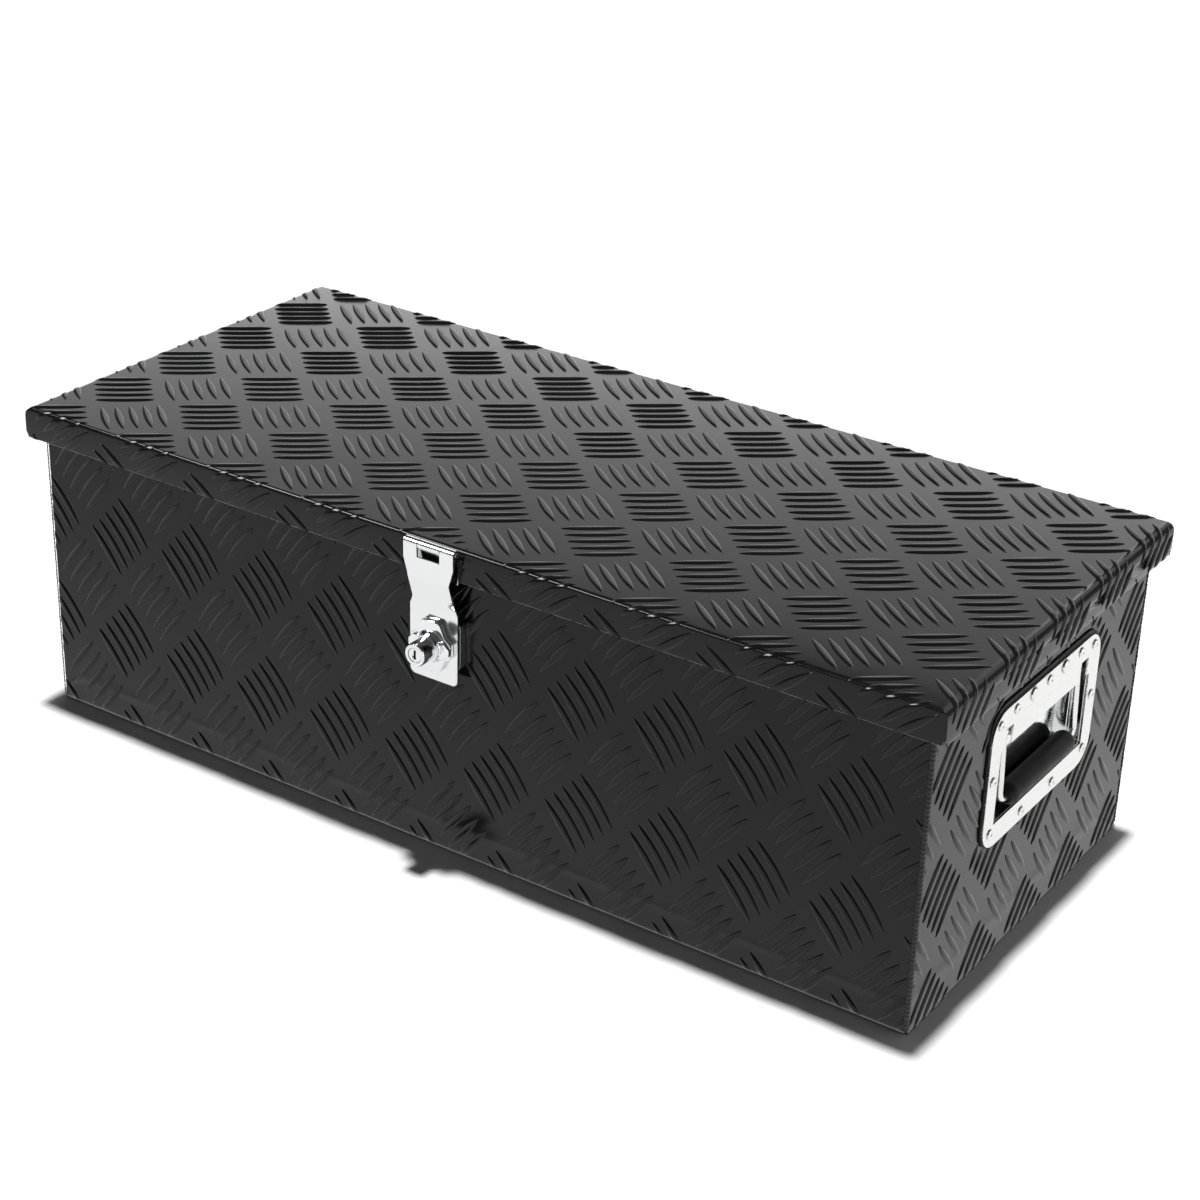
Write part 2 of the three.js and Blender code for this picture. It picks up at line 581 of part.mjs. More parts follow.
function stayStud() {
  const { y, x0, pinR, sheet, studFootR, studHeadR, headGap, headT } = STAY;
  const inner = BODY.halfX - SHEET - GAP;
  const foot = rod('x', y, studZ, studFootR, inner - sheet, inner, 16);
  const shank = rod('x', y, studZ, pinR, x0 - headGap - 1, inner - 1, 10);
  const head = rod('x', y, studZ, studHeadR, x0 - headGap - headT, x0 - headGap, 12);
  return union(foot, shank, head);
}

// ---- assembly ---------------------------------------------------------------------------------
const FINISH = {
  black_tread: { color: 0x2b2b2b, metalness: 0.4, roughness: 0.45 },
  black_weld: { color: 0x242424, metalness: 0.4, roughness: 0.5 },
  black_steel: { color: 0x262626, metalness: 0.4, roughness: 0.45 },
  chrome: { color: 0xd9dadb, metalness: 1.0, roughness: 0.12 },
  stainless: { color: 0xc9cacb, metalness: 1.0, roughness: 0.25 },
  zinc: { color: 0xa9adb0, metalness: 1.0, roughness: 0.4 },
  rubber: { color: 0x141414, metalness: 0.0, roughness: 0.8 },
};

const root = new THREE.Group();
root.name = 'truck_tool_box';

function add(name, solid, finish) {
  const mesh = new THREE.Mesh(toGeometry(solid), new THREE.MeshStandardMaterial(FINISH[finish]));
  mesh.name = name;
  root.add(mesh);
}

// The -X end carries the same pieces turned half way round.
function addPair(name, solid, finish) {
  add(`${name}_right`, solid, finish);
  add(`${name}_left`, solid.rotate([0, 0, 180]), finish);
}

add('body_wrap', bodyWrap(), 'black_tread');
addPair('end_panel', endPanel(), 'black_tread');
add('weld_front_right', cornerWeld(1, -1), 'black_weld');
add('weld_front_left', cornerWeld(-1, -1), 'black_weld');
add('weld_rear_right', cornerWeld(1, 1), 'black_weld');
add('weld_rear_left', cornerWeld(-1, 1), 'black_weld');
add('rim_seal', rimSeal(), 'rubber');
add('lid_shell', lidShell(), 'black_tread');
add('hinge_body_leaf', hingeLeaf('body'), 'black_steel');
add('hinge_lid_leaf', hingeLeaf('lid'), 'black_steel');
add('hinge_pin', hingePin(), 'black_steel');
add('hasp_leaf', haspLeaf(), 'chrome');
add('hasp_arm', haspArm(), 'chrome');
add('hasp_pin', haspPin(), 'chrome');
add('lock_knob', lockKnob(), 'chrome');
add('lock_cam', lockCam(), 'zinc');
add('key_plug', keyPlug(), 'chrome');
add('keeper_housing', keeperHousing(), 'chrome');
add('stay_bracket', stayBracket(), 'zinc');
add('stay_arm', stayArm(), 'zinc');
add('stay_stud', stayStud(), 'zinc');
addPair('handle_gasket', handleGasket(), 'rubber');
addPair('handle_plate', handlePlate(), 'stainless');
addPair('handle_dish', handleDish(), 'chrome');
addPair('handle_pivot_tube', pivotTube(), 'stainless');
addPair('handle_bail', bailRod(), 'stainless');
addPair('handle_grip', bailGrip(), 'rubber');
SMALL_RIVET_SITES.forEach((site, i) => addPair(`rivet_${i + 1}`, rivet(site, SMALL_RIVET), 'stainless'));
BIG_RIVET_SITES.forEach((site, i) => addPair(`large_rivet_${i + 1}`, rivet(site, BIG_RIVET), 'stainless'));

export default root;
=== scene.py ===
"""Truck tool box: tread plate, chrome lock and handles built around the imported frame."""

import json
import math

import bmesh
import bpy
import numpy as np
from mathutils import Matrix, Vector

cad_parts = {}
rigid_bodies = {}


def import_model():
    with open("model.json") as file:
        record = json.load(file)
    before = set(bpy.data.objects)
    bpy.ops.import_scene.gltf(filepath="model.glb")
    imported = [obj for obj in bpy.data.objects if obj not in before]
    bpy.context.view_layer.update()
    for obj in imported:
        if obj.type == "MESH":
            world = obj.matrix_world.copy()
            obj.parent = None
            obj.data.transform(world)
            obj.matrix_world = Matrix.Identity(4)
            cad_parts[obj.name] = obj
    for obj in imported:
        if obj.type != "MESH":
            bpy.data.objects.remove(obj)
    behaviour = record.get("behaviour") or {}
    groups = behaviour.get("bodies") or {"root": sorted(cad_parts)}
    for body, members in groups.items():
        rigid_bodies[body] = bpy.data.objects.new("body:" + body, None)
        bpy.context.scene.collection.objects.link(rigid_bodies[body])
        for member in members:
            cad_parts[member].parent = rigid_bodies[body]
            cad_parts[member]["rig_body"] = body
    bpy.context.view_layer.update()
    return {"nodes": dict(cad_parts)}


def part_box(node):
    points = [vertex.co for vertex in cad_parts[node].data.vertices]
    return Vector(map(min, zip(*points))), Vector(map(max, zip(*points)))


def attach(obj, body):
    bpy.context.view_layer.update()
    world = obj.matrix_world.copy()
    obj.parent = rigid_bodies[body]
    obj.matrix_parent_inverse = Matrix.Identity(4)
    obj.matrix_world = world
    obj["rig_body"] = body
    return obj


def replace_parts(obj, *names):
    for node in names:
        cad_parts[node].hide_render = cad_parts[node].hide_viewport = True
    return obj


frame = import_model()

MM = 0.001

BOXES = {node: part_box(node) for node in frame["nodes"]}


def low(node):
    """A CAD node's lowest corner, in millimetres."""
    return BOXES[node][0] / MM


def high(node):
    """A CAD node's highest corner, in millimetres."""
    return BOXES[node][1] / MM


def middle(node):
    """The middle of a CAD node, in millimetres."""
    return (low(node) + high(node)) / 2


# ---- materials --------------------------------------------------------------------------------
class Shader:
    """A Principled material with a few short calls for its procedural detail."""

    def __init__(self, name, colour, roughness, metallic=0.0):
        self.material = bpy.data.materials.new(name)
        self.material.use_nodes = True
        self.tree = self.material.node_tree
        self.bsdf = self.tree.nodes["Principled BSDF"]
        self.set("Base Color", (*colour, 1.0))
        self.set("Roughness", roughness)
        self.set("Metallic", metallic)
        self.place = self.tree.nodes.new("ShaderNodeTexCoord").outputs["Object"]
        self.material.diffuse_color = (*colour, 1.0)

    def set(self, socket, value):
        self.bsdf.inputs[socket].default_value = value

    def link(self, output, node_input):
        self.tree.links.new(output, node_input)

    def noise(self, scale, detail=3.0, stretch=(1, 1, 1)):
        """Noise of that many cells per metre, stretched along each axis."""
        mapping = self.tree.nodes.new("ShaderNodeMapping")
        mapping.inputs["Scale"].default_value = stretch
        self.link(self.place, mapping.inputs["Vector"])
        texture = self.tree.nodes.new("ShaderNodeTexNoise")
        texture.inputs["Scale"].default_value = scale
        texture.inputs["Detail"].default_value = detail
        self.link(mapping.outputs["Vector"], texture.inputs["Vector"])
        return texture.outputs["Fac"]

    def ramp(self, value, stops):
        """Colour stops (place, colour or grey) over a 0 to 1 value."""
        node = self.tree.nodes.new("ShaderNodeValToRGB")
        elements = node.color_ramp.elements
        while len(elements) < len(stops):
            elements.new(0.5)
        for element, (where, colour) in zip(elements, stops):
            grey = not hasattr(colour, "__len__")
            element.position = where
            element.color = (colour, colour, colour, 1) if grey else (*colour, 1)
        self.link(value, node.inputs["Fac"])
        return node.outputs["Color"]

    def colours(self, value, stops):
        self.link(self.ramp(value, stops), self.bsdf.inputs["Base Color"])

    def roughness(self, value, least, most):
        self.link(self.ramp(value, [(0.3, least), (0.7, most)]), self.bsdf.inputs["Roughness"])

    def bump(self, *layers):
        """Stacks bumps, each (height value, strength, depth in metres)."""
        normal = None
        for value, strength, depth in layers:
            node = self.tree.nodes.new("ShaderNodeBump")
            node.inputs["Strength"].default_value = strength
            node.inputs["Distance"].default_value = depth
            self.link(value, node.inputs["Height"])
            if normal is not None:
                self.link(normal, node.inputs["Normal"])
            normal = node.outputs["Normal"]
        self.link(normal, self.bsdf.inputs["Normal"])


def black_coat():
    """Smooth black coating over aluminium tread plate, with faint rolling marks and smudges."""
    s = Shader("black_coat", (0.004, 0.004, 0.0043), 0.15)
    s.set("Specular IOR Level", 0.23)
    s.colours(s.noise(9, 4), [(0.35, (0.003, 0.003, 0.0032)), (0.7, (0.006, 0.006, 0.0063))])
    s.roughness(s.noise(26, 6), 0.12, 0.18)
    s.bump((s.noise(1500, 2), 0.04, 0.00006), (s.noise(55, 3), 0.06, 0.0003))
    return s.material


def painted_edge_highlight():
    """A lighter grey on the lid flanges' cut edges: a painted highlight for the thin line of light those
    sheared edges catch.
    """
    s = Shader("painted_edge_highlight", (0.16, 0.16, 0.16), 0.4)
    s.colours(s.noise(40, 4), [(0.35, (0.09, 0.09, 0.09)), (0.7, (0.22, 0.22, 0.22))])
    s.roughness(s.noise(200, 3), 0.32, 0.48)
    return s.material


def weld_coat():
    """The same coating over a weld bead, rougher and a little duller."""
    s = Shader("weld_coat", (0.006, 0.006, 0.006), 0.3)
    s.set("Specular IOR Level", 0.35)
    s.roughness(s.noise(300, 4), 0.24, 0.36)
    s.bump((s.noise(1200, 4), 0.12, 0.0001))
    return s.material


def polished_chrome():
    """Bright plating with faint smears and hairline scratches."""
    s = Shader("polished_chrome", (0.75, 0.755, 0.76), 0.07, 1.0)
    s.roughness(s.noise(60, 5), 0.05, 0.13)
    s.bump((s.noise(420, 2, (1, 1, 14)), 0.02, 0.00005), (s.noise(90, 2), 0.03, 0.0002))
    return s.material


def satin_stainless():
    """Stamped stainless plate with a fine grain along its length."""
    s = Shader("satin_stainless", (0.72, 0.72, 0.715), 0.2, 1.0)
    s.roughness(s.noise(700, 3, (1, 0.05, 1)), 0.16, 0.3)
    s.bump((s.noise(900, 2, (1, 0.03, 1)), 0.06, 0.00006), (s.noise(45, 2), 0.05, 0.0004))
    return s.material


def zinc_plate():
    """Zinc-plated steel, slightly blue and mottled."""
    s = Shader("zinc_plate", (0.55, 0.57, 0.59), 0.34, 1.0)
    s.colours(s.noise(160, 5), [(0.35, (0.5, 0.52, 0.55)), (0.65, (0.64, 0.65, 0.66))])
    s.roughness(s.noise(240, 4), 0.26, 0.44)
    s.bump((s.noise(900, 3), 0.08, 0.00008))
    return s.material


def hinge_coat():
    """The same black over the rolled steel hinge, slightly thicker and less even."""
    s = Shader("hinge_coat", (0.005, 0.005, 0.0053), 0.22)
    s.set("Specular IOR Level", 0.3)
    s.roughness(s.noise(70, 5), 0.18, 0.3)
    s.bump((s.noise(700, 3), 0.08, 0.0001))
    return s.material


def grip_rubber():
    """Moulded black rubber with a fine matt grain."""
    s = Shader("grip_rubber", (0.004, 0.004, 0.0043), 0.5)
    s.set("Specular IOR Level", 0.22)
    s.colours(s.noise(30, 4), [(0.3, (0.003, 0.003, 0.0032)), (0.7, (0.006, 0.006, 0.0064))])
    s.roughness(s.noise(80, 4), 0.42, 0.58)
    s.bump((s.noise(2600, 3), 0.25, 0.00012))
    return s.material


def seal_rubber():
    """Dull sponge rubber."""
    s = Shader("seal_rubber", (0.011, 0.011, 0.011), 0.75)
    s.roughness(s.noise(500, 4), 0.66, 0.85)
    s.bump((s.noise(1900, 5), 0.5, 0.0003))
    return s.material


COAT = black_coat()
# The lighter grey for the lid flanges' cut edges is a painted highlight, not wear.
HIGHLIGHT_PAINT = painted_edge_highlight()
WELD = weld_coat()
CHROME = polished_chrome()
STAINLESS = satin_stainless()
ZINC = zinc_plate()
HINGE_COAT = hinge_coat()
GRIP = grip_rubber()
SEAL = seal_rubber()


# ---- mesh helpers -----------------------------------------------------------------------------
def body_name(node):
    return frame["nodes"][node]["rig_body"]


def sharpen(bm, degrees):
    """Smooth faces, with a hard edge wherever two of them meet at more than that angle."""
    limit = math.radians(degrees)
    for face in bm.faces:
        face.smooth = True
    for edge in bm.edges:
        edge.smooth = len(edge.link_faces) == 2 and edge.calc_face_angle(0) < limit


def new_piece(name, bm, material, body, degrees=35):
    """Makes a finished mesh piece from bmesh geometry in metres and hangs it on a body."""
    sharpen(bm, degrees)
    mesh = bpy.data.meshes.new(name)
    bm.to_mesh(mesh)
    bm.free()
    mesh.materials.append(material)
    piece = bpy.data.objects.new(name, mesh)
    bpy.context.scene.collection.objects.link(piece)
    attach(piece, body)
    return piece


def soften(piece, width, segments=2, degrees=40):
    """Rounds a piece's hard edges by that many millimetres."""
    bevel = piece.modifiers.new("edges", "BEVEL")
    bevel.width = width * MM
    bevel.segments = segments
    bevel.limit_method = "ANGLE"
    bevel.angle_limit = math.radians(degrees)
    bevel.harden_normals = True
    bevel.use_clamp_overlap = True
    return piece


def merged(node):
    """A CAD node's mesh as bmesh, with its coplanar triangles merged into whole faces."""
    bm = bmesh.new()
    bm.from_mesh(frame["nodes"][node].data)
    bmesh.ops.remove_doubles(bm, verts=bm.verts, dist=1e-6)
    bmesh.ops.dissolve_limit(bm, angle_limit=math.radians(0.5), verts=bm.verts, edges=bm.edges)
    return bm


def refined(node, material, width=0.3, segments=2, degrees=35):
    """A clean copy of a CAD node with rounded edges, shown in its place."""
    bm = merged(node)
    piece = new_piece(f"{node}_look", bm, material, body_name(node), degrees)
    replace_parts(piece, node)
    return soften(piece, width, segments, degrees) if width else piece


def mesh_of(points, faces):
    """bmesh from points in millimetres and index faces."""
    bm = bmesh.new()
    verts = [bm.verts.new(Vector(p) * MM) for p in points]
    for face in faces:
        bm.faces.new([verts[i] for i in face])
    return bm


def lathe(profile, origin, direction, steps=40):
    """Revolves (radius, height) pairs about a line from origin along direction, in millimetres."""
    turn = Vector((0, 0, 1)).rotation_difference(Vector(direction)).to_matrix()
    origin = Vector(origin)
    points = []
    rings = []
    for radius, height in profile:
        if radius == 0:
            rings.append([len(points)] * steps)
            points.append(origin + turn @ Vector((0, 0, height)))
            continue
        rings.append(list(range(len(points), len(points) + steps)))
        for k in range(steps):
            t = 2 * math.pi * k / steps
            points.append(origin + turn @ Vector((radius * math.cos(t), radius * math.sin(t), height)))
    faces = []
    for a, b in zip(rings, rings[1:]):
        for k in range(steps):
            n = (k + 1) % steps
            corners = [a[k], a[n], b[n], b[k]]
            faces.append(list(dict.fromkeys(corners)))
    bm = mesh_of(points, faces)
    bmesh.ops.recalc_face_normals(bm, faces=bm.faces)
    return bm


def tube(points, radius, sides=20):
    """A round bar along a list of points that lie in one plane x = const, before it is placed."""
    rings = []
    flat = []
    for i, p in enumerate(points):
        before = Vector(points[max(i - 1, 0)])
        after = Vector(points[min(i + 1, len(points) - 1)])
        along = (after - before).normalized()
        side = along.cross(Vector((1, 0, 0)))
        rings.append(range(len(flat), len(flat) + sides))
        for k in range(sides):
            t = 2 * math.pi * k / sides
            flat.append(Vector(p) + radius * (math.cos(t) * side + math.sin(t) * Vector((1, 0, 0))))
    faces = [[r[k] for k in range(sides)] for r in (rings[0], rings[-1])]
    for a, b in zip(rings, rings[1:]):
        faces += [[a[k], a[(k + 1) % sides], b[(k + 1) % sides], b[k]] for k in range(sides)]
    bm = mesh_of(flat, faces)
    bmesh.ops.recalc_face_normals(bm, faces=bm.faces)
    return bm


def arc(cy, cz, radius, start, end, steps):
    """Points (0, y, z) on an arc, angles in degrees."""
    angles = [math.radians(start + (end - start) * k / steps) for k in range(steps + 1)]
    return [(0, cy + radius * math.cos(t), cz + radius * math.sin(t)) for t in angles]


def dome(radius, height, steps, dimple):
    """The lathe profile of a rivet head on height 0. A dimple radius above 0 hollows its top."""
    rim = 0.12
    profile = [(radius, 0), (radius, height * rim)]
    for k in range(1, steps + 1):
        t = math.pi / 2 * k / steps
        r = radius * math.cos(t)
        if r <= dimple:
            break
        profile.append((r, height * (rim + (1 - rim) * math.sin(t))))
    if dimple:
        top = profile[-1][1]
        profile += [(dimple, top), (dimple * 0.85, top - 0.12), (dimple * 0.8, top - 0.7), (0, top - 0.9)]
    else:
        profile.append((0, height))
    return profile


# ---- tread plate ------------------------------------------------------------------------------
# The tread repeats on a rectangle: five parallel bars at its corners and five mirrored at its middle.
LONG = 86.3
SHORT = 69.0
BARS = 5
BAR_LENGTH = 44.0
BAR_HALF = 3.2              # half a bar's width
BAR_HEIGHT = 1.2
BAR_TURN = math.radians(38.7)
BAR_SHIFT = (7.4, -7.1)     # from one bar of a group to the next
BAR_ALONG = 16              # mesh rows along a bar
BAR_ACROSS = 8              # mesh faces across it
SUNK = 0.15                 # how far a bar's foot sits inside the sheet
PRESSED = 0.55              # how much of a bar's height the press brake takes away in a bend
BEND_SOFTENS = 0.15         # how far the normal must lean for all of that to go
SHEARED = 0.6               # how much of its height the shear takes away at a cut edge
SHEAR_REACH = 5.0
PAD_EASE = 2.0              # how far outside pressed-on hardware the tread is back to full height
PAD_DEPTH = 12              # hardware further off than this leaves the sheet alone
GRID_REACH = 9              # pattern repeats counted each way from an origin

LID_END_BEND = 7.0          # outer bend radii of the folded sheets
LID_EDGE_BEND = 3.5
WRAP_BEND = 4.0
END_INSET = 1               # the lid's end flanges stop short of its corners
WALL_TOP = 5.0              # the bars stop short of the body's rim
WALL_FOOT = 1.5             # and run this far into its bottom bends
PANEL_TOP = 3
RIM_REACH = 4.5             # height of the lid's cut edges above its lowest point
COAT_BUILD_UP = 0.5
LID_TREAD_AT = (-174.4, 37.7)
FRONT_TREAD_AT = (-24.1, 71.5)      # across, and up from the floor
END_TREAD_AT = (-131.0, 91.4)


def bar_grid():
    """One bar as rows of (along, across, height); its two tips are single points."""
    rows = []
    for i in range(BAR_ALONG + 1):
        q = -math.cos(math.pi * i / BAR_ALONG)
        half = BAR_HALF * max(0.0, 1 - q * q) ** 0.8
        crest = BAR_HEIGHT * (1 - abs(q) ** 5) ** 0.6 + SUNK
        turns = [math.pi * (k / BAR_ACROSS - 0.5) for k in range(BAR_ACROSS + 1)]
        across = [math.sin(t) for t in turns]
        rows.append([(q * BAR_LENGTH / 2, half * p, crest * (1 - abs(p) ** 3) - SUNK) for p in across])
    rows[0] = [(-BAR_LENGTH / 2, 0, -SUNK)]
    rows[-1] = [(BAR_LENGTH / 2, 0, -SUNK)]
    return rows


def bar_faces(rows):
    """Index faces over those rows."""
    starts = [sum(len(r) for r in rows[:i]) for i in range(len(rows))]
    faces = []
    for i in range(len(rows) - 1):
        a, b = starts[i], starts[i + 1]
        for k in range(BAR_ACROSS):
            first = [a, a] if len(rows[i]) == 1 else [a + k, a + k + 1]
            second = [b, b] if len(rows[i + 1]) == 1 else [b + k, b + k + 1]
            faces.append(list(dict.fromkeys([first[0], second[0], second[1], first[1]])))
    return faces


BAR = bar_grid()
BAR_POINTS = np.array([p for row in BAR for p in row])
BAR_FACES = bar_faces(BAR)


def bar_places(origin, long_axis, flip, span):
    """(centre, direction) of every bar whose middle lies near the span (u0, u1, v0, v1)."""
    pitch = (LONG, SHORT) if long_axis == 0 else (SHORT, LONG)
    reach = BAR_LENGTH / 2
    found = []
    for kind in (0, 1):
        side = flip if kind == 0 else -flip
        along = (math.cos(BAR_TURN), side * math.sin(BAR_TURN))
        shift = (BAR_SHIFT[0], side * BAR_SHIFT[1])
        if long_axis == 1:
            along, shift = along[::-1], shift[::-1]
        for m in range(-GRID_REACH, GRID_REACH + 1):
            for n in range(-GRID_REACH, GRID_REACH + 1):
                cu = origin[0] + pitch[0] * (m + kind / 2)
                cv = origin[1] + pitch[1] * (n + kind / 2)
                for k in range(BARS):
                    u = cu + shift[0] * (k - BARS // 2)
                    v = cv + shift[1] * (k - BARS // 2)
                    if span[0] - reach < u < span[1] + reach and span[2] - reach < v < span[3] + reach:
                        found.append(((u, v), along))
    return found


def clipped(points, cuts):
    """Clips one bar to half-planes ((axis, limit, side, closed), ...) and returns points and faces."""
    bm = bmesh.new()
    verts = [bm.verts.new(p) for p in points]
    for face in BAR_FACES:
        bm.faces.new([verts[i] for i in face])
    for axis, limit, side, closed in cuts:
        normal = Vector((side, 0, 0)) if axis == 0 else Vector((0, side, 0))
        where = Vector((limit, 0, 0)) if axis == 0 else Vector((0, limit, 0))
        every = list(bm.verts) + list(bm.edges) + list(bm.faces)
        made = bmesh.ops.bisect_plane(
            bm, geom=every, plane_co=where, plane_no=normal, clear_outer=True, dist=1e-4
        )
        rim = [g for g in made["geom_cut"] if isinstance(g, bmesh.types.BMVert)]
        rim.sort(key=lambda vert: vert.co[1 - axis])
        if closed and len(rim) > 2:
            bm.faces.new(rim)
    bm.verts.index_update()
    out = [tuple(vert.co) for vert in bm.verts]
    faces = [[vert.index for vert in face.verts] for face in bm.faces]
    bm.free()
    return out, faces


def cuts_of(flat, patch):
    """The patch's sides that a bar crosses, as half-planes for clipped(), or None if it is outside."""
    u0, u1, v0, v1, closed = patch
    limits = [(0, u0, -1, "u0"), (0, u1, 1, "u1"), (1, v0, -1, "v0"), (1, v1, 1, "v1")]
    cuts = []
    for axis, limit, side, name in limits:
        past = side * (flat[:, axis] - limit)
        if past.min() >= 0:
            return None
        if past.max() > 0:
            cuts.append((axis, limit, side, name in closed))
    return cuts


def kept_height(u, v, patch, base, normal, pads):
    """How much of its height a bar keeps there, after fitted hardware, the shear and the press brake."""
    u0, u1, v0, v1, closed = patch
    kept = min((settle(pad, base) for pad in pads), default=1.0)
    edge = {"u0": u - u0, "u1": u1 - u, "v0": v - v0, "v1": v1 - v}
    near = min(edge[name] for name in closed) / SHEAR_REACH
    kept *= 1 - SHEARED * (1 - min(1.0, max(0.0, near))) ** 2
    lean = 1 - max(abs(x) for x in normal)
    return kept * (1 - PRESSED * min(1.0, lean / BEND_SOFTENS))


def tread(patches, origin, long_axis, flip, fold, pads):
    """Every bar on a sheet's patches, folded into place. A patch is (u0, u1, v0, v1, closed edges)."""
    points = []
    faces = []
    for patch in patches:
        for (cu, cv), (du, dv) in bar_places(origin, long_axis, flip, patch[:4]):
            s, t, w = BAR_POINTS.T
            flat = np.stack([cu + s * du - t * dv, cv + s * dv + t * du, w], 1)
            cuts = cuts_of(flat, patch)
            if cuts is None:
                continue
            these, over = clipped(flat, cuts) if cuts else (flat, BAR_FACES)
            placed = []
            heights = []
            for u, v, w in these:
                base, normal = fold(u, v)
                kept = kept_height(u, v, patch, base, normal, pads)
                heights.append(kept)
                placed.append(base + normal * ((w + SUNK) * kept - SUNK))
            if max(heights, default=0) < 0.05:
                continue
            faces += [[i + len(points) for i in face] for face in over]
            points += placed
    bm = mesh_of(points, faces)
    bmesh.ops.remove_doubles(bm, verts=bm.verts, dist=2e-6)
    return bm


def settle(pad, point):
    """0 where fitted hardware presses the tread flat, rising to 1 a little way outside it.

    A pad is (node, the two axes of its face, margin round it, corner radius).
    """
    node, axes, margin, radius = pad
    lo, hi = low(node), high(node)
    gaps = []
    for axis in axes:
        half = (hi[axis] - lo[axis]) / 2 + margin - radius
        gaps.append(max(0.0, abs(point[axis] - (hi[axis] + lo[axis]) / 2) - half))
    across = 3 - sum(axes)
    if abs(point[across] - (lo[across] + hi[across]) / 2) > PAD_DEPTH:
        return 1.0
    outside = math.hypot(*gaps) - radius
    x = min(1.0, max(0.0, outside / PAD_EASE))
    return x * x * (3 - 2 * x)


def bent(past, radius):
    """That far past the start of a right-angle bend: the distances out and down, and the angle."""
    angle = min(past / radius, math.pi / 2)
    straight = max(0.0, past - radius * math.pi / 2)
    return radius * math.sin(angle), radius * (1 - math.cos(angle)) + straight, angle


def lid_fold(u, v):
    """The lid's outer face: flat on top, bent down past each edge. u runs along X and v along Y."""
    lo, hi = low("lid_shell"), high("lid_shell")
    x_edge = hi.x - LID_END_BEND
    y_edge = (lo.y + LID_EDGE_BEND, hi.y - LID_EDGE_BEND)
    if abs(u) > x_edge:
        side = math.copysign(1, u)
        out, down, a = bent(abs(u) - x_edge, LID_END_BEND)
        base = Vector((side * (x_edge + out), v, hi.z - down))
        return base, Vector((side * math.sin(a), 0, math.cos(a)))
    if v < y_edge[0] or v > y_edge[1]:
        side = 1 if v > 0 else -1
        edge = y_edge[1] if v > 0 else y_edge[0]
        out, down, a = bent(abs(v - edge), LID_EDGE_BEND)
        base = Vector((u, edge + side * out, hi.z - down))
        return base, Vector((0, side * math.sin(a), math.cos(a)))
    return Vector((u, v, hi.z)), Vector((0, 0, 1))


def lid_tread():
    """Bars over the lid's top and all four flanges."""
    lo, hi = low("lid_shell"), high("lid_shell")
    tall = hi.z - lo.z
    x_edge = hi.x - LID_END_BEND
    x_end = x_edge + LID_END_BEND * math.pi / 2 + (tall - LID_END_BEND)
    drop = LID_EDGE_BEND * math.pi / 2 + (tall - LID_EDGE_BEND)
    y_front, y_rear = lo.y + LID_EDGE_BEND, hi.y - LID_EDGE_BEND
    patches = [
        (-x_edge, x_edge, y_front - drop, y_rear + drop, ("v0", "v1")),
        (x_edge, x_end, lo.y + END_INSET, hi.y - END_INSET, ("u1", "v0", "v1")),
        (-x_end, -x_edge, lo.y + END_INSET, hi.y - END_INSET, ("u0", "v0", "v1")),
    ]
    pads = [("hasp_leaf", (0, 2), 0.6, 0.5)]
    bm = tread(patches, LID_TREAD_AT, 0, 1, lid_fold, pads)
    return new_piece("lid_tread", bm, COAT, "lid", 50)


def wrap_fold(u, v):
    """The outer face of the sheet that makes the front, floor and rear. v runs down from the front rim."""
    lo, hi = low("body_wrap"), high("body_wrap")
    bend = WRAP_BEND
    wall = hi.z - bend - lo.z
    turn = bend * math.pi / 2
    floor = hi.y - lo.y - 2 * bend
    if v < wall:
        return Vector((u, lo.y, hi.z - v)), Vector((0, -1, 0))
    v -= wall
    if v < turn:
        a = v / bend
        return (
            Vector((u, lo.y + bend * (1 - math.cos(a)), lo.z + bend * (1 - math.sin(a)))),
            Vector((0, -math.cos(a), -math.sin(a))),
        )
    v -= turn
    if v < floor:
        return Vector((u, lo.y + bend + v, lo.z)), Vector((0, 0, -1))
    v -= floor
    if v < turn:
        a = v / bend
        return (
            Vector((u, hi.y - bend * (1 - math.sin(a)), lo.z + bend * (1 - math.cos(a)))),
            Vector((0, math.sin(a), -math.cos(a))),
        )
    return Vector((u, hi.y, lo.z + bend + v - turn)), Vector((0, 1, 0))


def wrap_tread():
    """Bars over the front and rear. The floor's underside stays plain where it stands."""
    lo, hi = low("body_wrap"), high("body_wrap")
    every = ("u0", "u1", "v0", "v1")
    wall = hi.z - lo.z - WRAP_BEND
    total = 2 * wall + WRAP_BEND * math.pi + (hi.y - lo.y - 2 * WRAP_BEND)
    rear = total - wall
    patches = [
        (lo.x, hi.x, WALL_TOP, wall + WALL_FOOT, every),
        (lo.x, hi.x, rear - WALL_FOOT, total - WALL_TOP, every),
    ]
    pads = [("keeper_housing", (0, 2), 0.6, 2.0), ("hinge_body_leaf", (0, 2), 1.5, 0.5)]
    origin = (FRONT_TREAD_AT[0], hi.z - FRONT_TREAD_AT[1])
    bm = tread(patches, origin, 1, 1, wrap_fold, pads)
    return new_piece("body_tread", bm, COAT, "box", 50)


def end_tread(side):
    """Bars over one end sheet, pressed flat under the handle."""
    node = f"end_panel_{side}"
    sign = 1 if side == "right" else -1
    lo, hi = low(node), high(node)
    face = hi.x if sign > 0 else lo.x

    def fold(u, v):
        return Vector((face, sign * u, v)), Vector((sign, 0, 0))

    patches = [(lo.y, hi.y, lo.z, hi.z - PANEL_TOP, ("u0", "u1", "v0", "v1"))]
    pads = [(f"handle_gasket_{side}", (1, 2), 0.3, 19.0)]
    bm = tread(patches, END_TREAD_AT, 1, 1, fold, pads)
    bmesh.ops.recalc_face_normals(bm, faces=bm.faces)
    return new_piece(f"end_tread_{side}", bm, COAT, "box", 50)


